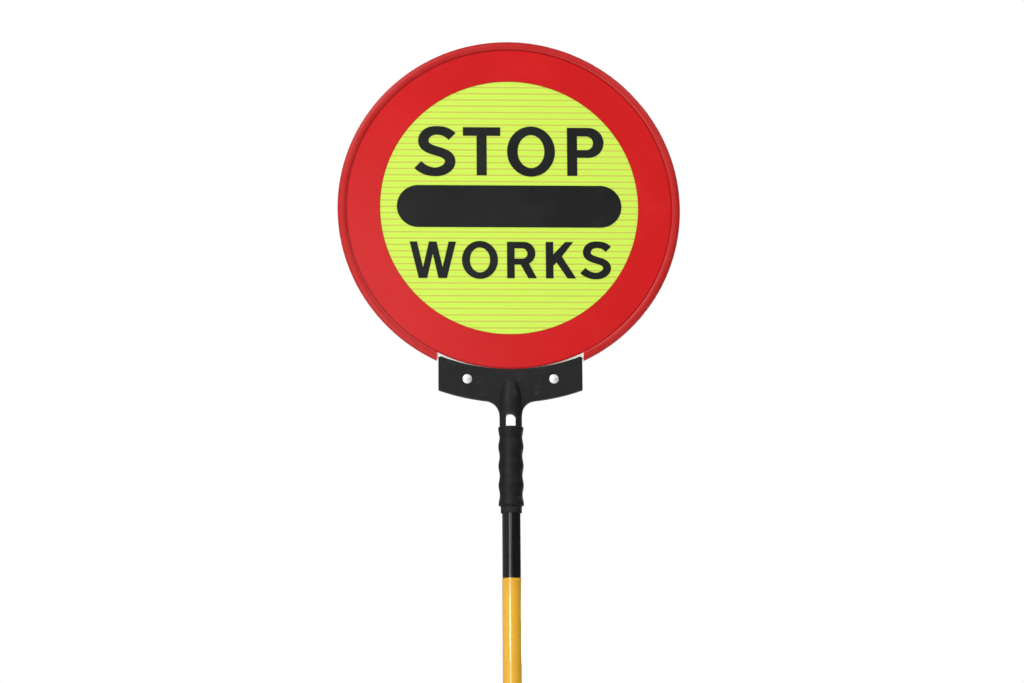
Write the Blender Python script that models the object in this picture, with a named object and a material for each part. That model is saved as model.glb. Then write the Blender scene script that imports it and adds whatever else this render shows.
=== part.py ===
"""Stop works paddle: a 450 mm reflective disc in a red edge trim, riveted into a black moulded
T-head with a wavy rubber grip, which pushes onto a black and yellow pole.

Metres, +Z up, front face towards -Y. The origin is the middle of the pole's foot.
Profiles and outlines are in metres too, measured from the centre of the disc.
"""

import math

import bmesh
import bpy
from mathutils import Matrix, Vector
from mathutils.geometry import interpolate_bezier

# Pole
TUBE_RADIUS = 0.012
TUBE_WALL = 0.0012
TUBE_LENGTH = 1.2
SLEEVE_BORE = 0.0121
SLEEVE_RADIUS = 0.01235
CAP_FLOOR = 0.004
CAP_HEIGHT = 0.042
PLUG_FLANGE = 0.002
PLUG_SPIGOT = 0.014

# Heights below the centre of the disc
SOCKET_CEILING = 0.3046
SOCKET_MOUTH = 0.4021
GRIP_TOP = 0.2902
GRIP_END = 0.3925
COLLAR_GROOVES = (0.3957, 0.3976, 0.3995)
YELLOW_TOP = 0.4857
RIVET_DROP = 0.2278
TUBE_TOP = CAP_FLOOR + TUBE_LENGTH
DISC_HEIGHT = TUBE_TOP + PLUG_FLANGE + 0.0004 + SOCKET_CEILING

# Disc, films and trim
RIM_RADIUS = 0.225
FACE_RADIUS = 0.2145
LIP_RADIUS = 0.2141
YELLOW_RADIUS = 0.1694
YELLOW_RISE = 0.0008  # the printed face sits a little above the middle of the disc
PLATE_RADIUS = 0.222
PLATE_THICK = 0.003
FILM_THICK = 0.0003
FILM_GAP = 0.0001
TAB_HALF = 0.0919
TAB_RADIUS = 0.2505
TRIM_HALF_DEPTH = 0.0047
TRIM_GROOVE = 0.0017
LIP_GAP = 0.0026
TRIM_CUT = 0.0955
TRIM_START = 22.5  # degrees from straight down, inside the cut

# T-head
HEAD_HALF_WIDTH = 0.0935
HEAD_HALF_DEPTH = 0.0048
HEAD_TOP = 0.2147
HEAD_TOP_RADIUS = 0.255
HEAD_BOTTOM = 0.258
HEAD_BOTTOM_RADIUS = 0.281
SLOT_HALF = 0.0018
SLOT_RADIUS = 0.251
NECK_RADIUS = 0.0146
FILLET_RADIUS = 0.019
SOCKET_RADIUS = 0.0134
SOCKET_BORE = 0.0122
RIVET_X = 0.0563
RIVET_HOLE = 0.00265
RIVET_SHANK = 0.0025
RIVET_HEAD = 0.0061
RIVET_DOME = 0.0021
HOLE_HALF_WIDTH = 0.0061
HOLE_TOP = 0.2726
HOLE_BOTTOM = 0.2967
HOLE_DRAFT = 0.07

# Grip
GRIP_BORE = 0.01355
GRIP_VALLEY = 0.01475
GRIP_CREST = 0.01645
GRIP_PITCH = 0.025
GRIP_FIRST_CREST = 0.3161

# Legend: cap heights, baselines above the disc's centre, left edges of the letters
STOP_CAP = 0.0650
STOP_BASELINE = 0.0431
STOP_PLACES = {"s": -0.1247, "t": -0.0607, "o": -0.0026, "p": 0.0766}
WORKS_CAP = 0.0485
WORKS_BASELINE = -0.0944
WORKS_PLACES = {"w": -0.1309, "o": -0.0625, "r": -0.0035, "k": 0.0472, "s": 0.0922}
LETTER_WIDTH = 0.98
BAR_HALF_LENGTH = 0.1475
BAR_HALF_HEIGHT = 0.0281
BAR_RISE = 0.0016

PART_GAP = 0.0003
FRONT, REAR = -1, 1


# ---------------------------------------------------------------- tools


def clear_scene():
    for obj in list(bpy.data.objects):
        bpy.data.objects.remove(obj, do_unlink=True)


def material(name, color, roughness, metallic=0.0):
    mat = bpy.data.materials.new(name)
    mat.use_nodes = True
    shader = mat.node_tree.nodes["Principled BSDF"]
    shader.inputs["Base Color"].default_value = (*color, 1.0)
    shader.inputs["Roughness"].default_value = roughness
    shader.inputs["Metallic"].default_value = metallic
    return mat


def empty(name, location):
    obj = bpy.data.objects.new(name, None)
    obj.location = location
    bpy.context.collection.objects.link(obj)
    return obj


def add(name, bm, mat=None, parent=None, smooth=False):
    """Turns a bmesh into a named object; smooth shades all but its sharp edges."""
    bmesh.ops.remove_doubles(bm, verts=bm.verts, dist=1e-6)
    bmesh.ops.recalc_face_normals(bm, faces=bm.faces)
    mesh = bpy.data.meshes.new(name)
    bm.to_mesh(mesh)
    bm.free()
    obj = bpy.data.objects.new(name, mesh)
    bpy.context.collection.objects.link(obj)
    if mat:
        mesh.materials.append(mat)
    if smooth:
        mesh.shade_smooth()
        mesh.set_sharp_from_angle(angle=math.radians(35))
    obj.parent = parent
    return obj


def cutter(name, bm, parent=None, smooth=False):
    """An object that only shapes another one through a Boolean."""
    obj = add(name, bm, parent=parent, smooth=smooth)
    obj.hide_render = True
    obj.display_type = "WIRE"
    return obj


def boolean(obj, tool, operation):
    mod = obj.modifiers.new(tool.name, "BOOLEAN")
    mod.operation = operation
    mod.solver = "EXACT"
    mod.object = tool


def arc(cx, cz, radius, start, end, steps):
    """Points on an arc, angles in degrees from +X towards +Z, both ends included."""
    angles = [math.radians(start + (end - start) * i / steps) for i in range(steps + 1)]
    return [(cx + radius * math.cos(a), cz + radius * math.sin(a)) for a in angles]


def circle(cx, cz, radius, steps):
    return arc(cx, cz, radius, 0, 360, steps)[:-1]


def prism(loops, near, far):
    """A slab between y = near and y = far; the first (x, z) loop is its outline, the rest holes."""
    bm = bmesh.new()
    edges = []
    for loop in loops:
        verts = [bm.verts.new((x, near, z)) for x, z in loop]
        edges += [bm.edges.new((a, b)) for a, b in zip(verts, verts[1:] + verts[:1])]
    bmesh.ops.triangle_fill(bm, edges=edges, use_beauty=True)
    sides = bmesh.ops.extrude_face_region(bm, geom=bm.faces[:])
    lifted = [v for v in sides["geom"] if isinstance(v, bmesh.types.BMVert)]
    bmesh.ops.translate(bm, verts=lifted, vec=(0, far - near, 0))
    return bm


def spun(profile, steps, closed=True, angle=360.0, start=0.0):
    """Spins an (r, z) profile about Z. A profile that is not closed ends on the axis."""
    bm = bmesh.new()
    verts = [bm.verts.new((r, 0, z)) for r, z in profile]
    for a, b in zip(verts, verts[1:]):
        bm.edges.new((a, b))
    if closed:
        bm.edges.new((verts[-1], verts[0]))
    bmesh.ops.rotate(bm, verts=bm.verts, matrix=Matrix.Rotation(math.radians(start), 3, "Z"))
    bmesh.ops.spin(
        bm,
        geom=bm.verts[:] + bm.edges[:],
        axis=(0, 0, 1),
        angle=math.radians(angle),
        steps=steps,
        use_merge=angle == 360.0,
    )
    return bm


def along_y(bm):
    """Turns a shape spun about Z so that its axis lies along Y."""
    bmesh.ops.rotate(bm, verts=bm.verts, matrix=Matrix.Rotation(math.radians(90), 3, "X"))
    return bm


def moved(bm, offset):
    bmesh.ops.translate(bm, verts=bm.verts, vec=offset)
    return bm


def tidy_loop(points):
    """Drops repeated points of a closed outline."""
    kept = []
    for point in points:
        if not kept or math.dist(point, kept[-1]) > 1e-6:
            kept.append(point)
    if math.dist(kept[0], kept[-1]) < 1e-6:
        kept.pop()
    return kept


def mirrored(points):
    """A closed outline from its right half: the points, then their mirror image in x."""
    return tidy_loop(points + [(-x, z) for x, z in reversed(points)])


def bowed(x, lowest, radius):
    """The point at x on the lower half of a circle whose lowest point is this far down."""
    return (x, radius - lowest - math.sqrt(radius**2 - x**2))


# ---------------------------------------------------------------- disc


def plate_outline():
    """A disc with a tab below it that fills the slot in the T-head."""
    corner = math.degrees(math.acos(TAB_HALF / PLATE_RADIUS))
    foot = math.degrees(math.acos(TAB_HALF / TAB_RADIUS))
    tab = arc(0, 0, TAB_RADIUS, -90, -foot, 10)
    rim = arc(0, 0, PLATE_RADIUS, -corner, 90, 48)
    return mirrored(tab + rim)


def sign_plate(mat, parent):
    half = PLATE_THICK / 2
    holes = [circle(side * RIVET_X, -RIVET_DROP, RIVET_HOLE, 20) for side in (-1, 1)]
    return add("sign_plate", prism([plate_outline()] + holes, -half, half), mat, parent)


def film(name, loops, layer, side, mat, parent):
    """A film on the plate: layer 0 lies on the plate and layer 1 on layer 0."""
    near = PLATE_THICK / 2 + FILM_GAP + layer * (FILM_THICK + FILM_GAP)
    return add(name, prism(loops, side * near, side * (near + FILM_THICK)), mat, parent)


def edge_trim(mat, parent):
    depth, groove = TRIM_HALF_DEPTH, TRIM_GROOVE
    width = RIM_RADIUS - LIP_RADIUS
    seat = FACE_RADIUS + 0.0004
    half = [
        (seat, groove),
        (seat, LIP_GAP),
        (LIP_RADIUS, LIP_GAP),
        (LIP_RADIUS, 0.66 * depth),
        (LIP_RADIUS + 0.12 * width, 0.86 * depth),
        (LIP_RADIUS + 0.34 * width, depth),
        (LIP_RADIUS + 0.62 * width, 0.95 * depth),
        (LIP_RADIUS + 0.85 * width, 0.70 * depth),
        (LIP_RADIUS + 0.97 * width, 0.33 * depth),
    ]
    bottom = [(PLATE_RADIUS + PART_GAP, -groove), (PLATE_RADIUS + PART_GAP, groove)]
    profile = half + [(RIM_RADIUS, 0)] + [(r, -z) for r, z in reversed(half)] + bottom
    ring = along_y(spun(profile, 126, angle=360 - 2 * TRIM_START, start=TRIM_START - 90))
    bmesh.ops.holes_fill(ring, edges=ring.edges)
    trim = add("edge_trim", ring, mat, parent, smooth=True)
    opening = [(-TRIM_CUT, 0), (TRIM_CUT, 0), (TRIM_CUT, -0.3), (-TRIM_CUT, -0.3)]
    boolean(trim, cutter("cut_trim_opening", prism([opening], -0.02, 0.02), parent), "DIFFERENCE")
    return trim


# ---------------------------------------------------------------- legend
# Letters are drawn in cap heights from the left end of the baseline.

STEM = 0.208
CAP_STROKE = 0.178
SIDE_STROKE = 0.219
OVERSHOOT = 0.022
BOWL_BOTTOM = 0.375


def ellipse(cx, cz, rx, rz, steps):
    return [(cx + rx * x, cz + rz * z) for x, z in circle(0, 0, 1, steps)]


def letter_s():
    """A stroke along an S-shaped line, broad where it is upright and thin where it is level."""
    knots = [  # place, then the handle that leaves it
        ((0.318, 0.304), (-0.090, 0.085)),
        ((-0.008, 0.430), (-0.155, 0.0)),
        ((-0.277, 0.214), (0.0, -0.125)),
        ((0.000, 0.000), (0.150, -0.042)),
        ((0.277, -0.214), (0.0, -0.125)),
        ((-0.030, -0.433), (-0.150, 0.0)),
        ((-0.392, -0.282), (-0.080, 0.085)),
    ]
    line = []
    for (a, leave), (b, arrive) in zip(knots, knots[1:]):
        a, b = Vector(a), Vector(b)
        points = interpolate_bezier(a, a + Vector(leave), b - Vector(arrive), b, 9)
        line += points[:-1]
    line.append(b)
    left, right = [], []
    for i, point in enumerate(line):
        ahead = line[min(i + 1, len(line) - 1)] - line[max(i - 1, 0)]
        ahead = ahead.normalized()
        if i in (0, len(line) - 1):
            ahead = Vector((-0.7, 0.7)).normalized()
        half = 0.5 * (CAP_STROKE + (SIDE_STROKE - CAP_STROKE) * abs(ahead.y))
        across = Vector((-ahead.y, ahead.x)) * half
        left.append(tuple(point + across))
        right.append(tuple(point - across))
    outline = left + right[::-1]
    low = min(x for x, _ in outline)
    return [[(x - low, z + 0.5) for x, z in outline]]


def letter_t():
    width, stem = 0.773, STEM / 2
    mid = width / 2
    bar = 1 - CAP_STROKE
    return [
        [(mid - stem, 0), (mid + stem, 0), (mid + stem, bar), (width, bar)]
        + [(width, 1), (0, 1), (0, bar), (mid - stem, bar)]
    ]


def letter_o():
    rx, rz = 0.496, 0.5 + OVERSHOOT
    outer = ellipse(rx, 0.5, rx, rz, 48)
    return [outer, ellipse(rx, 0.5, rx - SIDE_STROKE, rz - CAP_STROKE, 36)]


def bowl(width):
    """The outer arc of a bowl, from below, and the counter inside it, for letters P and R."""
    radius = (1 - BOWL_BOTTOM) / 2
    outer = arc(width - radius, 1 - radius, radius, -90, 90, 20)
    inner = radius - 0.5 * (CAP_STROKE + 0.162)
    mid = BOWL_BOTTOM + 0.162 + inner
    counter = [(STEM, mid + inner), (STEM, mid - inner)]
    return outer, counter + arc(width - SIDE_STROKE - inner, mid, inner, -90, 90, 14)


def letter_p():
    outer, counter = bowl(0.759)
    return [[(0, 0), (STEM, 0), (STEM, BOWL_BOTTOM)] + outer + [(0, 1)], counter]


def letter_r():
    outer, counter = bowl(0.781)
    leg = [(0.374, BOWL_BOTTOM), (0.585, 0), (0.819, 0), (0.600, 0.418)]
    arc_from_leg = [p for p in outer if p[0] > leg[-1][0] or p[1] > 0.7]
    return [[(0, 0), (STEM, 0), (STEM, BOWL_BOTTOM)] + leg + arc_from_leg + [(0, 1)], counter]


def letter_k():
    arm = [(0.445, 0.604), (0.758, 1), (0.540, 1), (STEM, 0.660), (STEM, 1), (0, 1)]
    return [[(0, 0), (STEM, 0), (STEM, 0.347), (0.294, 0.442), (0.596, 0), (0.834, 0)] + arm]


def letter_w():
    """Half the W, mirrored about its middle."""
    half = [(0.639, 0.667), (0.485, 0), (0.252, 0), (0, 1), (0.204, 1), (0.370, 0.296), (0.534, 1)]
    other = [(1.278 - x, z) for x, z in reversed(half[1:])]
    return [half + other]


LETTERS = {
    "s": letter_s,
    "t": letter_t,
    "o": letter_o,
    "p": letter_p,
    "w": letter_w,
    "r": letter_r,
    "k": letter_k,
}


def word(name, places, cap, baseline, side, mat, parent):
    """One film piece for each letter of a word; the rear face reads the right way round too."""
    for char, left in places.items():
        loops = [
            [(-side * (left + x * cap * LETTER_WIDTH), baseline + z * cap) for x, z in loop]
            for loop in LETTERS[char]()
        ]
        film(f"{name}_{char}", loops, 1, side, mat, parent)


def legend(face, side, mat, parent):
    word(f"{face}_stop", STOP_PLACES, STOP_CAP, STOP_BASELINE, side, mat, parent)
    word(f"{face}_works", WORKS_PLACES, WORKS_CAP, WORKS_BASELINE, side, mat, parent)
    straight = BAR_HALF_LENGTH - BAR_HALF_HEIGHT
    bar = arc(straight, BAR_RISE, BAR_HALF_HEIGHT, -90, 90, 24)
    film(f"{face}_bar", [mirrored(bar)], 1, side, mat, parent)


def faces(mats, parent):
    for face, side in (("front", FRONT), ("rear", REAR)):
        sheet = [circle(0, 0, FACE_RADIUS, 144)]
        border = sheet + [circle(0, YELLOW_RISE, YELLOW_RADIUS, 128)]
        film(f"{face}_reflective_sheet", sheet, 0, side, mats["yellow_film"], parent)
        film(f"{face}_red_border", border, 1, side, mats["red_film"], parent)
        legend(face, side, mats["black_film"], parent)


# ---------------------------------------------------------------- T-head


def head_outline():
    """The T's outline, from the middle of the top edge round the right side to the neck."""
    corner, steps = 0.003, 14
    end = HEAD_HALF_WIDTH - corner
    top = [bowed(end * i / steps, HEAD_TOP, HEAD_TOP_RADIUS) for i in range(steps + 1)]
    x, z = top[-1]
    top_corner = arc(x, z - corner, corner, 70, 0, 3)
    rise = HEAD_BOTTOM_RADIUS - HEAD_BOTTOM
    slope = math.degrees(math.acos(HEAD_HALF_WIDTH / HEAD_BOTTOM_RADIUS))
    centre_x = NECK_RADIUS + FILLET_RADIUS
    reach = HEAD_BOTTOM_RADIUS + FILLET_RADIUS
    centre_z = rise - math.sqrt(reach**2 - centre_x**2)
    meet = math.degrees(math.atan2(centre_z - rise, centre_x))
    bottom = arc(0, rise, HEAD_BOTTOM_RADIUS, -slope, meet, 10)
    fillet = arc(centre_x, centre_z, FILLET_RADIUS, meet + 180, 180, 10)
    neck = [(NECK_RADIUS - 0.0006, centre_z - 0.004)]
    return mirrored(top + top_corner + bottom + fillet + neck)


def neck_profile():
    """Boss dome, neck, socket and the ribbed collar at the socket's mouth, as (r, z)."""
    dome_top, dome_foot, dome_radius = -0.2247, -0.2572, 0.0144
    dome = [
        (dome_radius * math.sin(a), dome_foot + (dome_top - dome_foot) * math.cos(a))
        for a in (math.radians(90) * i / 10 for i in range(11))
    ]
    neck = [(NECK_RADIUS, -0.271), (NECK_RADIUS, -GRIP_TOP + PART_GAP)]
    socket = [(SOCKET_RADIUS, -GRIP_TOP + PART_GAP), (SOCKET_RADIUS, -GRIP_END - PART_GAP)]
    collar = [(0.0139, -GRIP_END - PART_GAP)]
    for groove in COLLAR_GROOVES:
        collar += [(0.0138, -groove + 0.0005), (0.0135, -groove), (0.0138, -groove - 0.0005)]
    mouth = [(0.0136, -SOCKET_MOUTH + 0.0003), (0.0132, -SOCKET_MOUTH), (0.0, -SOCKET_MOUTH)]
    return dome + neck + socket + collar + mouth


def on_rim(edge):
    """Whether an edge of the T's plate joins a broad face to the narrow side."""
    flat = [abs(face.normal.y) > 0.9 for face in edge.link_faces]
    return flat[0] != flat[1]


def hanging_hole():
    """An oblong through the neck that narrows to its middle, as the two mould halves leave it."""
    bm = bmesh.new()
    rings = []
    for y in (-0.03, 0, 0.03):
        grow = HOLE_DRAFT * abs(y)
        half = HOLE_HALF_WIDTH + grow
        top, foot = grow - HOLE_TOP - half, half - HOLE_BOTTOM
        oblong = arc(0, top, half, 0, 180, 14) + arc(0, foot, half, 180, 360, 14)
        rings.append([bm.verts.new((x, y, z)) for x, z in oblong])
    for near, far in zip(rings, rings[1:]):
        for i in range(len(near)):
            bm.faces.new((near[i], near[i - 1], far[i - 1], far[i]))
    bm.faces.new(rings[0])
    bm.faces.new(rings[-1])
    return bm


def tee_head(mat, parent):
    plate = prism([head_outline()], -HEAD_HALF_DEPTH, HEAD_HALF_DEPTH)
    bmesh.ops.recalc_face_normals(plate, faces=plate.faces)
    bmesh.ops.dissolve_limit(
        plate, angle_limit=math.radians(1), verts=plate.verts, edges=plate.edges
    )
    rim = [e for e in plate.edges if len(e.link_faces) == 2 and on_rim(e)]
    bmesh.ops.bevel(plate, geom=rim, offset=0.0009, segments=2, profile=0.6, affect="EDGES")
    head = add("tee_head", plate, mat, parent, smooth=True)

    neck = spun(neck_profile(), 48, closed=False)
    boolean(head, cutter("join_neck", neck, parent, smooth=True), "UNION")

    inner = [(-0.2, -0.1), (0.2, -0.1)]
    edge = math.degrees(math.acos(0.2 / SLOT_RADIUS))
    slot = inner + arc(0, 0, SLOT_RADIUS, -edge, edge - 180, 24)
    boolean(head, cutter("cut_slot", prism([slot], -SLOT_HALF, SLOT_HALF), parent), "DIFFERENCE")

    for side, name in ((-1, "left"), (1, "right")):
        hole = prism([circle(side * RIVET_X, -RIVET_DROP, RIVET_HOLE, 20)], -0.02, 0.02)
        boolean(head, cutter(f"cut_{name}_rivet_hole", hole, parent), "DIFFERENCE")

    boolean(head, cutter("cut_hanging_hole", hanging_hole(), parent), "DIFFERENCE")

    lead_in, below_mouth = SOCKET_BORE + 0.0006, -SOCKET_MOUTH - 0.002
    bore = [(0, -SOCKET_CEILING), (SOCKET_BORE, -SOCKET_CEILING)]
    bore += [(SOCKET_BORE, -SOCKET_MOUTH + 0.0008), (lead_in, -SOCKET_MOUTH)]
    bore += [(lead_in, below_mouth), (0, below_mouth)]
    socket = spun(bore, 48, closed=False)
    boolean(head, cutter("cut_socket_bore", socket, parent, smooth=True), "DIFFERENCE")
    return head


def rivet(name, x, mat, parent):
    seat = HEAD_HALF_DEPTH + FILM_GAP
    radius = (RIVET_HEAD**2 + RIVET_DOME**2) / (2 * RIVET_DOME)
    reach = math.degrees(math.asin(RIVET_HEAD / radius))
    centre = seat + 0.0003 + RIVET_DOME - radius
    angles = [math.radians(reach * i / 6) for i in range(7)]
    dome = [(radius * math.sin(a), centre + radius * math.cos(a)) for a in angles]
    top = dome + [(RIVET_HEAD, seat), (RIVET_SHANK, seat)]
    profile = top + [(r, -z) for r, z in reversed(top)]
    body = moved(along_y(spun(profile, 32, closed=False)), (x, 0, -RIVET_DROP))
    return add(name, body, mat, parent, smooth=True)


def grip_sleeve(mat, parent):
    waist = GRIP_FIRST_CREST - GRIP_PITCH / 2
    mean, swing = (GRIP_CREST + GRIP_VALLEY) / 2, (GRIP_CREST - GRIP_VALLEY) / 2
    outer = [
        (GRIP_BORE, -GRIP_TOP),
        (GRIP_CREST - 0.0011, -GRIP_TOP),
        (GRIP_CREST - 0.0003, -GRIP_TOP - 0.0006),
        (GRIP_CREST, -GRIP_TOP - 0.0020),
        (GRIP_CREST - 0.0001, -GRIP_TOP - 0.0042),
        (GRIP_CREST - 0.0005, -GRIP_TOP - 0.0062),
        (GRIP_VALLEY + 0.0009, -GRIP_TOP - 0.0078),
        (GRIP_VALLEY + 0.0007, -GRIP_TOP - 0.0098),
        (GRIP_VALLEY + 0.0002, -GRIP_TOP - 0.0116),
    ]
    rows = 30
    for i in range(rows + 1):
        drop = waist + (GRIP_END - 0.0006 - waist) * i / rows
        wave = math.cos(math.tau * (drop - GRIP_FIRST_CREST) / GRIP_PITCH)
        outer.append((mean + swing * wave, -drop))
    outer += [(GRIP_CREST - 0.0005, -GRIP_END), (GRIP_BORE, -GRIP_END)]
    return add("grip_sleeve", spun(outer, 40), mat, parent, smooth=True)


# ---------------------------------------------------------------- pole


def tube(name, inner, outer, bottom, top, mat, parent):
    profile = [(inner, bottom), (outer, bottom), (outer, top), (inner, top)]
    return add(name, spun(profile, 48), mat, parent, smooth=True)


def pole_plug(mat, parent):
    bore = TUBE_RADIUS - TUBE_WALL - 0.0001
    seat = TUBE_TOP + FILM_GAP
    profile = [
        (0, seat + PLUG_FLANGE),
        (TUBE_RADIUS - 0.0006, seat + PLUG_FLANGE),
        (TUBE_RADIUS, seat + PLUG_FLANGE - 0.0006),
        (TUBE_RADIUS, seat),
        (bore, seat),
        (bore, seat - PLUG_SPIGOT + 0.001),
        (bore - 0.001, seat - PLUG_SPIGOT),
        (0, seat - PLUG_SPIGOT),
    ]
    return add("pole_plug", spun(profile, 32, closed=False), mat, parent, smooth=True)


def foot_cap(mat, parent):
    bore = TUBE_RADIUS + 0.00015
    profile = [
        (0, 0),
        (0.0145, 0),
        (0.0160, 0.0012),
        (0.0163, 0.0040),
        (0.0160, 0.0085),
        (0.0146, 0.0130),
        (0.0142, 0.0200),
        (0.0140, CAP_HEIGHT - 0.0010),
        (0.0134, CAP_HEIGHT),
        (bore, CAP_HEIGHT),
        (bore, CAP_FLOOR - FILM_GAP),
        (0, CAP_FLOOR - FILM_GAP),
    ]
    return add("foot_cap", spun(profile, 40, closed=False), mat, parent, smooth=True)


def build():
    clear_scene()
    mats = {
        "white_sheet": material("white_sheet", (0.86, 0.87, 0.87), 0.4),
        "yellow_film": material("yellow_film", (0.62, 1.0, 0.09), 0.35),
        "red_film": material("red_film", (0.60, 0.016, 0.014), 0.35),
        "black_film": material("black_film", (0.022, 0.024, 0.022), 0.4),
        "red_trim": material("red_trim", (0.50, 0.03, 0.03), 0.42),
        "black_nylon": material("black_nylon", (0.02, 0.021, 0.021), 0.5),
        "zinc": material("zinc", (0.78, 0.79, 0.78), 0.32, 1.0),
        "grip_rubber": material("grip_rubber", (0.018, 0.019, 0.019), 0.6),
        "black_coat": material("black_coat", (0.018, 0.018, 0.018), 0.2),
        "yellow_pvc": material("yellow_pvc", (0.83, 0.44, 0.035), 0.25),
        "plug_plastic": material("plug_plastic", (0.03, 0.03, 0.03), 0.5),
        "foot_rubber": material("foot_rubber", (0.02, 0.02, 0.02), 0.75),
    }
    pole = empty("pole", (0, 0, 0))
    bore = TUBE_RADIUS - TUBE_WALL
    tube("pole_tube", bore, TUBE_RADIUS, CAP_FLOOR, TUBE_TOP, mats["black_coat"], pole)
    foot, top = CAP_HEIGHT + PART_GAP, DISC_HEIGHT - YELLOW_TOP
    tube("yellow_sleeve", SLEEVE_BORE, SLEEVE_RADIUS, foot, top, mats["yellow_pvc"], pole)
    pole_plug(mats["plug_plastic"], pole)
    foot_cap(mats["foot_rubber"], pole)

    head = empty("head", (0, 0, DISC_HEIGHT))
    sign_plate(mats["white_sheet"], head)
    faces(mats, head)
    edge_trim(mats["red_trim"], head)
    tee_head(mats["black_nylon"], head)
    rivet("left_rivet", -RIVET_X, mats["zinc"], head)
    rivet("right_rivet", RIVET_X, mats["zinc"], head)
    grip_sleeve(mats["grip_rubber"], head)


build()
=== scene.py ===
import math

import bmesh
import bpy
from mathutils import Euler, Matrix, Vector

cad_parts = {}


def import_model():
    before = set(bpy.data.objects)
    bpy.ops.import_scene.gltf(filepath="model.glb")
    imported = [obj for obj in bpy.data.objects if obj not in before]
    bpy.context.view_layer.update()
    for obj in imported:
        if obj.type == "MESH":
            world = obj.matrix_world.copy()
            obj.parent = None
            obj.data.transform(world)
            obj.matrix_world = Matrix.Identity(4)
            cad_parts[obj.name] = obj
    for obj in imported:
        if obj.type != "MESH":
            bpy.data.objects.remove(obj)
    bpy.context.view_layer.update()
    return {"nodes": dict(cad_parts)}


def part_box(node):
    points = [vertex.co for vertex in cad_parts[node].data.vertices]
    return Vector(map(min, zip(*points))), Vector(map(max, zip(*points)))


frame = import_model()
NODES = frame["nodes"]

# Lengths are in metres and angles in degrees. Azimuth 0 is in front, and 90 is at the right from there.

# Camera: its place from the middle of the disc, its turn and its lens in millimetres
CAMERA_FROM_DISC = Vector((-0.1766, -3.3287, -0.7474))
CAMERA_TURN = (99.696, 0.397, -3.009)
CAMERA_LENS = 91.4
SENSOR_WIDTH = 36.0

# Faces of the sign: the sheet's level seams, with the height of one of them, its fine lattice, the
# radius inside the trim's lips, and the yellow circle, whose middle is a little above the disc's
SEAM_PITCH = 0.008485
SEAM_WIDTH = 0.0021
SEAM_ABOVE_DISC = 0.1622
TILE_PITCH = 0.0024
LIP_RADIUS = 0.2141
YELLOW_RADIUS = 0.1694
YELLOW_RISE = 0.0008

# Grip: its bands of fine moulded lines, as distances from its ends, and their pitches
LOW_RIBS = (0.0015, 0.0125, 0.0024)
HIGH_RIBS = (0.0110, 0.0030, 0.0030)
RIB_DEPTH = 0.00012

# Smooth shading: edges sharper than this angle stay sharp, and points closer than this are welded
SHARP_ANGLE = 40
WELD = 2e-6

# Floor: its radius, how far it lies under the foot, and where it begins and ends turning white
FLOOR_RADIUS = 4.0
FLOOR_DROP = 0.0002
GLOW_START = 1.0
GLOW_END = 3.7

# Sky as light: it dims from left to right, by the direction's x, and upwards, by the direction's z
SKY_SIDE = (-0.25, 0.12, 0.38, 0.10)
SKY_RISE = (0.16, 0.34, 1.0, 0.3)


def middle(node):
    low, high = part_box(node)
    return (low + high) / 2


def width(node):
    low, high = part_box(node)
    return high.x - low.x


DISC = middle("front_reflective_sheet")
DISC.y = 0.0
RIM_RADIUS = width("edge_trim") / 2

# Lights of each side: azimuth, height, distance, width, tallness, radiance and the height aimed at,
# which is the middle of the disc or the upper part of the pole
POLE_AIM = 0.95
SOFTBOXES = {
    "overhead": (-38.0, 4.5, 3.6, 3.4, 1.6, 8.0, DISC.z),
    "fill": (36.0, 4.6, 3.8, 2.6, 1.5, 5.1, DISC.z),
    "strip": (-26.0, 0.95, 2.6, 0.9, 1.7, 2.3, POLE_AIM),
    "lamp": (-30.0, 1.115, 2.5, 0.38, 0.13, 16.0, POLE_AIM),
    "low": (-50.0, 0.35, 2.6, 1.2, 0.6, 3.6, DISC.z),
    "window": (-6.8, 1.98, 4.2, 1.0, 1.04, 1.5, DISC.z),
}


# ---------------------------------------------------------------- shader tools


class Graph:
    """A tree of shader nodes: short calls that add nodes and link them."""

    def __init__(self, tree):
        self.tree = tree

    def put(self, socket, value):
        """Sets a socket to a number or colour, or links it to another node's output."""
        if isinstance(value, bpy.types.NodeSocket):
            self.tree.links.new(value, socket)
        elif isinstance(value, tuple) and len(value) == 3 and socket.type == "RGBA":
            socket.default_value = (*value, 1.0)
        else:
            socket.default_value = value

    def node(self, kind, inputs=(), **settings):
        """A new node with its settings made and its inputs filled by name or number."""
        new = self.tree.nodes.new("ShaderNode" + kind)
        for name, value in settings.items():
            setattr(new, name, value)
        for name, value in dict(inputs).items():
            self.put(new.inputs[name], value)
        return new

    def math(self, operation, a, b=0.0, c=0.0):
        return self.node("Math", {0: a, 1: b, 2: c}, operation=operation).outputs[0]

    def axis(self, name, vector):
        return self.node("SeparateXYZ", {0: vector}).outputs[name]

    def fit(self, value, low, high, to_low=0.0, to_high=1.0, smooth=True):
        """Carries low..high to to_low..to_high, held outside them."""
        kind = "SMOOTHSTEP" if smooth else "LINEAR"
        inputs = {0: value, 1: low, 2: high, 3: to_low, 4: to_high}
        return self.node("MapRange", inputs, interpolation_type=kind).outputs[0]

    def length(self, a, b):
        """The distance from zero of a point with these two coordinates."""
        squares = self.math("ADD", self.math("MULTIPLY", a, a), self.math("MULTIPLY", b, b))
        return self.math("SQRT", squares)


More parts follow.
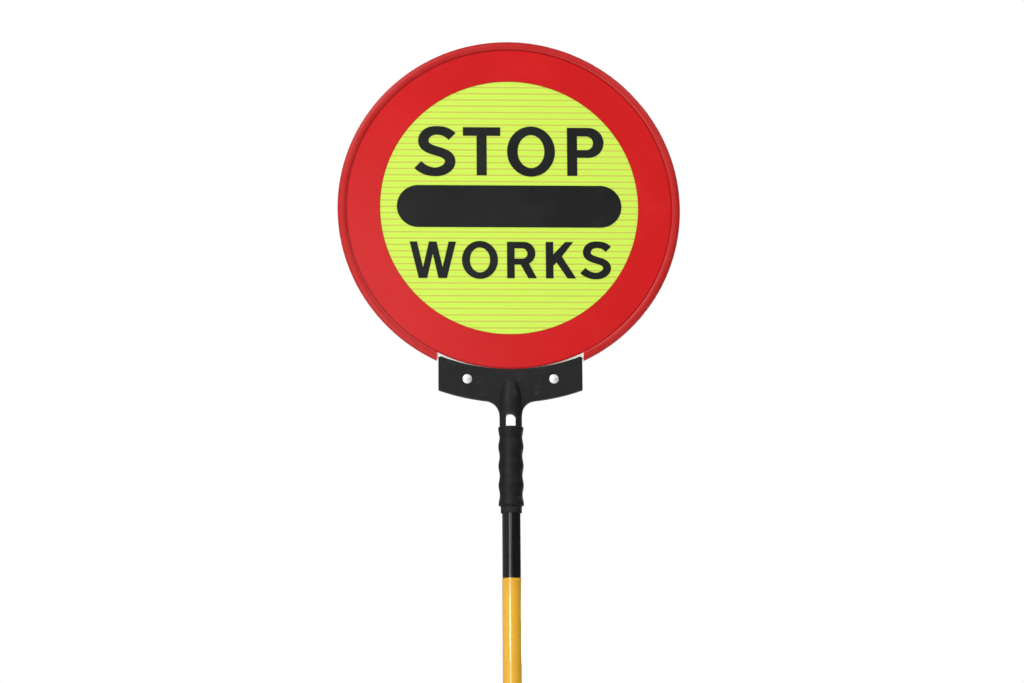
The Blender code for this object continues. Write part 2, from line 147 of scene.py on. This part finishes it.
class Material(Graph):
    """One material's nodes. Textures are placed by the shaded point in metres, at rest."""

    def __init__(self, name, color, roughness, **sockets):
        self.mat = bpy.data.materials.new(name)
        self.mat.use_nodes = True
        super().__init__(self.mat.node_tree)
        self.shader = self.tree.nodes["Principled BSDF"]
        self.color(color)
        self.rough(roughness)
        for socket, value in sockets.items():
            self.put(self.shader.inputs[socket.replace("_", " ")], value)

    def place(self):
        return self.node("TexCoord").outputs["Object"]

    def axis(self, name, vector=None):
        return super().axis(name, vector or self.place())

    def stretch(self, scale):
        """The shaded point with its axes scaled."""
        return self.node("VectorMath", {0: self.place(), 1: scale}, operation="MULTIPLY").outputs[0]

    def noise(self, scale, detail=2.0, rough=0.5, place=None):
        inputs = {"Vector": place or self.place(), "Scale": scale, "Detail": detail, "Roughness": rough}
        return self.node("TexNoise", inputs).outputs[0]

    def cells(self, scale, feature):
        inputs = {"Vector": self.place(), "Scale": scale}
        return self.node("TexVoronoi", inputs, feature=feature).outputs["Distance"]

    def mix(self, factor, a, b):
        """Two colours mixed by a factor."""
        new = self.node("Mix", data_type="RGBA")
        for socket, value in ((0, factor), (6, a), (7, b)):
            self.put(new.inputs[socket], value)
        return new.outputs[2]

    def part(self, mask, amount):
        """A mask turned down to an amount."""
        return self.math("MULTIPLY", mask, amount)

    def color(self, value):
        self.put(self.shader.inputs["Base Color"], value)

    def rough(self, value):
        self.put(self.shader.inputs["Roughness"], value)

    def bump(self, *layers):
        """Stacks bumps: each layer is (height, depth in metres)."""
        normal = None
        for height, depth in layers:
            inputs = {"Height": height, "Strength": 1.0, "Distance": depth}
            if normal:
                inputs["Normal"] = normal
            normal = self.node("Bump", inputs).outputs[0]
        self.put(self.shader.inputs["Normal"], normal)

    def from_disc(self, rise=0.0):
        """How far the point is from the disc's middle, or from a spot that much above it."""
        return self.length(self.axis("X"), self.math("SUBTRACT", self.axis("Z"), DISC.z + rise))

    def from_seam(self):
        """How far the point is from the sheet's nearest seam, in pitches: 0 on it, 0.5 midway."""
        height = self.math("SUBTRACT", self.axis("Z"), DISC.z + SEAM_ABOVE_DISC)
        turn = self.math("FRACT", self.math("DIVIDE", height, SEAM_PITCH))
        off = self.math("ABSOLUTE", self.math("SUBTRACT", turn, 0.5))
        return self.math("SUBTRACT", 0.5, off)

    def diagonals(self, lean):
        """Fine lines at 45 degrees across the sheet, 1 on each line and 0 between them."""
        across = self.math("MULTIPLY_ADD", self.axis("X"), lean, self.axis("Z"))
        wave = self.math("SINE", self.math("MULTIPLY", across, math.tau / TILE_PITCH))
        return self.fit(wave, 0.1, 0.9)

    def ribs(self, low, high, pitch):
        """Fine level lines as a wave, from one height to another."""
        height = self.axis("Z")
        start = self.fit(height, low, low + pitch)
        end = self.fit(height, high - pitch, high, 1.0, 0.0)
        wave = self.math("SINE", self.math("MULTIPLY", height, math.tau / pitch))
        return self.math("MULTIPLY", self.math("MULTIPLY", start, end), wave)


def shade(color, factor):
    return tuple(channel * factor for channel in color)


# ---------------------------------------------------------------- materials


def yellow_film():
    """Fluorescent prismatic sheet: level seams, a greener band between them and a fine lattice."""
    base, pale = (0.605, 0.875, 0.086), (0.705, 0.912, 0.125)
    seam, faded = (0.54, 0.57, 0.077), (0.70, 0.86, 0.2)
    t = Material("fluorescent_sheet", base, 0.32, Specular_IOR_Level=0.3)
    from_seam = t.from_seam()
    half = SEAM_WIDTH / SEAM_PITCH / 2
    line = t.fit(from_seam, half * 0.55, half * 1.45, 1.0, 0.0)
    beside = t.fit(from_seam, half, 0.36, 1.0, 0.0)
    spark = t.fit(t.cells(1400.0, "DISTANCE_TO_EDGE"), 0.02, 0.16)
    tile = t.math("MULTIPLY", t.diagonals(1.0), t.diagonals(-1.0))
    patches = t.fit(t.noise(22.0, 3.0), 0.35, 0.7)
    body = t.mix(beside, base, pale)
    body = t.mix(t.part(spark, 0.10), body, shade(base, 0.82))
    body = t.mix(t.part(patches, 0.05), body, faded)
    body = t.mix(t.part(tile, 0.16), body, shade(base, 0.80))
    t.color(t.mix(t.part(line, 0.92), body, seam))
    smudge = t.fit(t.noise(30.0, 4.0, 0.6), 0.42, 0.68)
    t.rough(t.math("ADD", t.part(smudge, 0.10), t.math("MULTIPLY_ADD", line, 0.12, 0.28)))
    t.bump((line, -0.00004), (spark, 0.000012), (tile, 0.00001), (t.noise(160.0), 0.00004))
    return t.mat


def red_film():
    """Red overlay film: faint seams from below, painted shade by the trim, a dark cut edge and
    scratches.
    """
    base, painted_shade_red, inner_edge_red = (0.61, 0.0120, 0.0135), (0.36, 0.003, 0.004), (0.28, 0.010, 0.006)
    t = Material("red_overlay", base, 0.3, Specular_IOR_Level=0.36)
    line = t.fit(t.from_seam(), 0.03, 0.10, 1.0, 0.0)
    clouds = t.fit(t.noise(7.0, 4.0, 0.55), 0.3, 0.7)
    # The ring just inside the trim's lip is painted shade, where the lip shades the film.
    painted_trim_shade = t.fit(t.from_disc(), LIP_RADIUS - 0.0024, LIP_RADIUS - 0.0010)
    # A darker line along the film's inner edge, by the yellow circle.
    inner_edge_line = t.fit(t.from_disc(YELLOW_RISE), YELLOW_RADIUS + 0.0003, YELLOW_RADIUS + 0.0012, 1.0, 0.0)
    body = t.mix(clouds, shade(base, 0.965), shade(base, 1.035))
    body = t.mix(t.part(line, 0.06), body, shade(base, 0.7))
    body = t.mix(t.part(painted_trim_shade, 0.85), body, painted_shade_red)
    t.color(t.mix(t.part(inner_edge_line, 0.7), body, inner_edge_red))
    scratch = t.fit(t.noise(6.0, 6.0, 0.7, t.stretch((90.0, 90.0, 9.0))), 0.62, 0.72)
    smear = t.fit(t.noise(14.0, 5.0, 0.62), 0.45, 0.7)
    t.rough(t.math("ADD", t.math("MULTIPLY_ADD", smear, 0.08, 0.20), t.part(scratch, 0.12)))
    t.bump((t.noise(220.0), 0.00004), (line, -0.00001), (scratch, -0.00001))
    return t.mat


def black_film():
    """Black overlay film: faint clouds, smudges and specks of dust."""
    base, dusty = (0.0105, 0.0115, 0.011), (0.05, 0.05, 0.048)
    t = Material("black_overlay", base, 0.34, Specular_IOR_Level=0.26)
    clouds = t.fit(t.noise(9.0, 4.0, 0.6), 0.3, 0.7)
    dust = t.fit(t.noise(900.0, 2.0, 0.6), 0.66, 0.8)
    smudge = t.fit(t.noise(18.0, 5.0, 0.6), 0.4, 0.7)
    body = t.mix(clouds, shade(base, 0.9), shade(base, 1.15))
    t.color(t.mix(t.part(dust, 0.5), body, dusty))
    t.rough(t.math("MULTIPLY_ADD", smudge, 0.12, 0.30))
    t.bump((t.noise(220.0), 0.00004), (dust, 0.00002))
    return t.mat


def white_sheet():
    """White composite: faint clouds in the gloss and a fine texture."""
    base = (0.94, 0.94, 0.94)
    t = Material("white_composite", base, 0.38)
    clouds = t.fit(t.noise(12.0, 4.0, 0.6), 0.35, 0.7)
    t.color(t.mix(clouds, base, shade(base, 0.95)))
    t.rough(t.math("MULTIPLY_ADD", clouds, 0.1, 0.34))
    t.bump((t.noise(500.0, 3.0), 0.00003))
    return t.mat


def red_trim():
    """Extruded red PVC: lines along the extrusion, a dull bloom and small scuffs on the outer edge."""
    base, bloomed, scuffed = (0.50, 0.0180, 0.0175), (0.54, 0.048, 0.045), (0.60, 0.20, 0.18)
    t = Material("red_pvc", base, 0.36, Specular_IOR_Level=0.2)
    radius = t.from_disc()
    streaks = t.noise(2600.0, place=t.node("CombineXYZ", {0: radius}).outputs[0])
    bloom = t.fit(t.noise(16.0, 5.0, 0.65), 0.38, 0.72)
    edge = t.fit(radius, RIM_RADIUS - 0.0028, RIM_RADIUS - 0.0001)
    scuff = t.math("MULTIPLY", edge, t.fit(t.noise(150.0, 5.0, 0.7), 0.5, 0.68))
    body = t.mix(t.part(bloom, 0.22), base, bloomed)
    t.color(t.mix(t.part(scuff, 0.35), body, scuffed))
    t.rough(t.math("ADD", t.math("MULTIPLY_ADD", bloom, 0.10, 0.33), t.part(scuff, 0.2)))
    t.bump((streaks, 0.00003), (t.noise(420.0, 3.0), 0.00003))
    return t.mat


def moulded(name, base, roughness, grain, depth, dust=0.10, ribs=()):
    """Moulded black plastic or rubber: spark-eroded grain, flow clouds and a little pale dust.

    Each of the ribs is a band of fine raised lines: its lower end, upper end and their pitch."""
    t = Material(name, base, roughness, Specular_IOR_Level=0.23)
    worn, dusty = (0.16, 0.155, 0.15), (0.20, 0.195, 0.19)
    clouds = t.fit(t.noise(28.0, 4.0, 0.6), 0.3, 0.72)
    specks = t.fit(t.noise(1500.0, 2.0, 0.6), 0.68, 0.8)
    handled = t.fit(t.noise(45.0, 6.0, 0.7), 0.52, 0.72)
    body = t.mix(clouds, shade(base, 0.88), shade(base, 1.15))
    body = t.mix(t.part(handled, dust), body, worn)
    t.color(t.mix(t.part(specks, dust * 2), body, dusty))
    t.rough(t.math("SUBTRACT", roughness + 0.04, t.part(handled, 0.12)))
    layers = [(t.noise(grain, 3.0, 0.6), depth), (t.noise(grain * 0.16), depth * 0.6)]
    layers += [(t.ribs(*band), RIB_DEPTH) for band in ribs]
    t.bump(*layers)
    return t.mat


def zinc():
    """Bright plated steel: small spangles, a fine grain and dull patches."""
    base, dulled = (0.83, 0.835, 0.835), (0.74, 0.78, 0.81)
    t = Material("zinc_plate", base, 0.5, Metallic=0.55)
    dull = t.fit(t.noise(420.0, 4.0, 0.6), 0.4, 0.7)
    t.color(t.mix(t.part(dull, 0.4), base, dulled))
    t.rough(t.math("MULTIPLY_ADD", dull, 0.16, 0.42))
    t.bump((t.cells(900.0, "F1"), 0.00004), (t.noise(2200.0, 3.0), 0.00002))
    return t.mat


def coat(name, base, roughness, scratches, gloss):
    """Gloss coat on a tube: orange peel, fine lengthwise drag marks and a few dull patches."""
    t = Material(name, base, roughness, Coat_Weight=gloss, Coat_Roughness=0.06)
    drag = t.fit(t.noise(1500.0, 3.0, 0.6, t.stretch((1.0, 1.0, 0.035))), 0.64, 0.76)
    patch = t.fit(t.noise(26.0, 5.0, 0.62), 0.46, 0.72)
    body = t.mix(patch, base, shade(base, 0.94))
    t.color(t.mix(t.part(drag, scratches), body, shade(base, 1.5)))
    t.rough(t.math("ADD", t.math("MULTIPLY_ADD", patch, 0.05, roughness), t.part(drag, 0.08)))
    t.bump((t.noise(240.0), 0.00001), (drag, -0.000003))
    return t.mat


def grip_bands():
    """The grip's bands of fine lines: lower end, upper end and pitch of each."""
    low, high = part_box("grip_sleeve")
    bottom = (low.z + LOW_RIBS[0], low.z + LOW_RIBS[1], LOW_RIBS[2])
    top = (high.z - HIGH_RIBS[0], high.z - HIGH_RIBS[1], HIGH_RIBS[2])
    return bottom, top


def look_of(node):
    """The name of a node's look: one for each kind of film, one for both rivets, or else its own."""
    if node.endswith("reflective_sheet"):
        return "yellow_film"
    if node.endswith("red_border"):
        return "red_film"
    if node.startswith(("front_", "rear_")):
        return "black_film"
    return "rivet" if node.endswith("rivet") else node


def dress():
    """Makes the materials and gives each node its own."""
    made = {
        "yellow_film": yellow_film(),
        "red_film": red_film(),
        "black_film": black_film(),
        "sign_plate": white_sheet(),
        "edge_trim": red_trim(),
        "tee_head": moulded("black_nylon", (0.0095, 0.0100, 0.0098), 0.54, 2600.0, 0.00005),
        "rivet": zinc(),
        "grip_sleeve": moulded(
            "grip_rubber", (0.0058, 0.0064, 0.0062), 0.5, 1900.0, 0.00003, 0.04, grip_bands()
        ),
        "pole_tube": coat("black_gloss_coat", (0.0060, 0.0058, 0.0057), 0.14, 0.5, 0.32),
        "yellow_sleeve": coat("yellow_gloss_pvc", (0.86, 0.462, 0.036), 0.16, 0.10, 1.0),
        "pole_plug": moulded("plug_plastic", (0.03, 0.03, 0.03), 0.5, 2200.0, 0.00004),
        "foot_cap": moulded("foot_rubber", (0.018, 0.018, 0.018), 0.7, 1300.0, 0.00008, 0.25),
    }
    for name, obj in NODES.items():
        obj.material_slots[0].material = made[look_of(name)]


# ---------------------------------------------------------------- smooth shading


def smoothing_group():
    """Geometry nodes that weld a mesh and shade it smooth but for its sharp edges."""
    group = bpy.data.node_groups.new(f"smooth_{SHARP_ANGLE}", "GeometryNodeTree")
    for way in ("INPUT", "OUTPUT"):
        group.interface.new_socket("Geometry", in_out=way, socket_type="NodeSocketGeometry")
    add, link = group.nodes.new, group.links.new
    start, end = add("NodeGroupInput"), add("NodeGroupOutput")
    drop = add("GeometryNodeRemoveAttribute")
    drop.inputs["Name"].default_value = "custom_normal"
    weld = add("GeometryNodeMergeByDistance")
    weld.inputs["Distance"].default_value = WELD
    faces, edges, sharp = (add("GeometryNodeSetShadeSmooth") for _ in range(3))
    edges.domain = sharp.domain = "EDGE"
    sharp.inputs["Shade Smooth"].default_value = False
    angle = add("GeometryNodeInputMeshEdgeAngle")
    over = add("FunctionNodeCompare")
    over.operation = "GREATER_THAN"
    over.inputs[1].default_value = math.radians(SHARP_ANGLE)
    link(angle.outputs[0], over.inputs[0])
    link(over.outputs[0], sharp.inputs["Selection"])
    chain = (start, drop, weld, faces, edges, sharp, end)
    for before, after in zip(chain, chain[1:]):
        link(before.outputs[0], after.inputs[0])
    return group


def smooth_nodes():
    group = smoothing_group()
    for obj in NODES.values():
        obj.modifiers.new("smooth_shading", "NODES").node_group = group
        obj.modifiers.new("flat_faces", "WEIGHTED_NORMAL").keep_sharp = True


# ---------------------------------------------------------------- stage, light and camera


def linked(name, data):
    """A new object in the scene."""
    obj = bpy.data.objects.new(name, data)
    bpy.context.scene.collection.objects.link(obj)
    return obj


def floor():
    """A pale round floor that brightens to white at its rim, like a studio's curved backdrop."""
    bm = bmesh.new()
    bmesh.ops.create_circle(bm, cap_ends=True, segments=96, radius=FLOOR_RADIUS)
    mesh = bpy.data.meshes.new("floor")
    bm.to_mesh(mesh)
    bm.free()
    obj = linked("floor", mesh)
    obj.location.z = -FLOOR_DROP
    t = Material("pale_floor", (0.82, 0.82, 0.82), 0.7, Emission_Color=(1.0, 1.0, 1.0))
    place = t.place()
    glow = t.fit(t.length(t.axis("X", place), t.axis("Y", place)), GLOW_START, GLOW_END)
    pale = t.mix(t.fit(t.noise(3.0, 3.0), 0.3, 0.7), (0.81, 0.81, 0.81), (0.83, 0.83, 0.83))
    t.color(t.mix(glow, pale, (0.0, 0.0, 0.0)))
    t.put(t.shader.inputs["Specular IOR Level"], 0.0)
    t.put(t.shader.inputs["Emission Strength"], glow)
    mesh.materials.append(t.mat)


def softbox(name, azimuth, height, distance, wide, tall, radiance, aim):
    """An area light round the object, turned to a height on its middle line."""
    angle = math.radians(azimuth)
    data = bpy.data.lights.new(name, "AREA")
    data.shape = "RECTANGLE"
    data.size, data.size_y = wide, tall
    data.energy = radiance * math.pi * wide * tall
    obj = linked(name, data)
    obj.location = (distance * math.sin(angle), -distance * math.cos(angle), height)
    obj.rotation_euler = (Vector((0.0, 0.0, aim)) - obj.location).to_track_quat("-Z", "Y").to_euler()
    obj.visible_camera = False


def lights():
    """The same lights in front and behind, as the sign's two faces are alike."""
    for side, turn in (("front", 0.0), ("rear", 180.0)):
        for name, (azimuth, *rest) in SOFTBOXES.items():
            softbox(f"{name}_{side}", turn + azimuth, *rest)


def world():
    """White where the camera sees it, and a dim uneven light for everything else."""
    made = bpy.data.worlds.new("studio")
    made.use_nodes = True
    bpy.context.scene.world = made
    made.node_tree.nodes.clear()
    t = Graph(made.node_tree)
    direction = t.node("TexCoord").outputs["Generated"]
    side = t.fit(t.axis("X", direction), *SKY_SIDE, smooth=False)
    rise = t.fit(t.axis("Z", direction), *SKY_RISE, smooth=False)
    lit = t.node("Background", {"Color": (0.8, 0.8, 0.8), "Strength": t.math("MULTIPLY", side, rise)})
    seen = t.node("Background", {"Color": (1.0, 1.0, 1.0)})
    camera_ray = t.node("LightPath").outputs["Is Camera Ray"]
    both = t.node("MixShader", {0: camera_ray, 1: lit.outputs[0], 2: seen.outputs[0]})
    t.node("OutputWorld", {"Surface": both.outputs[0]})


def camera():
    data = bpy.data.cameras.new("camera")
    data.lens, data.sensor_width = CAMERA_LENS, SENSOR_WIDTH
    obj = linked("camera", data)
    obj.location = DISC + CAMERA_FROM_DISC
    obj.rotation_euler = Euler([math.radians(a) for a in CAMERA_TURN], "XYZ")
    bpy.context.scene.camera = obj
    bpy.context.scene.view_settings.view_transform = "Standard"


dress()
smooth_nodes()
floor()
lights()
world()
camera()
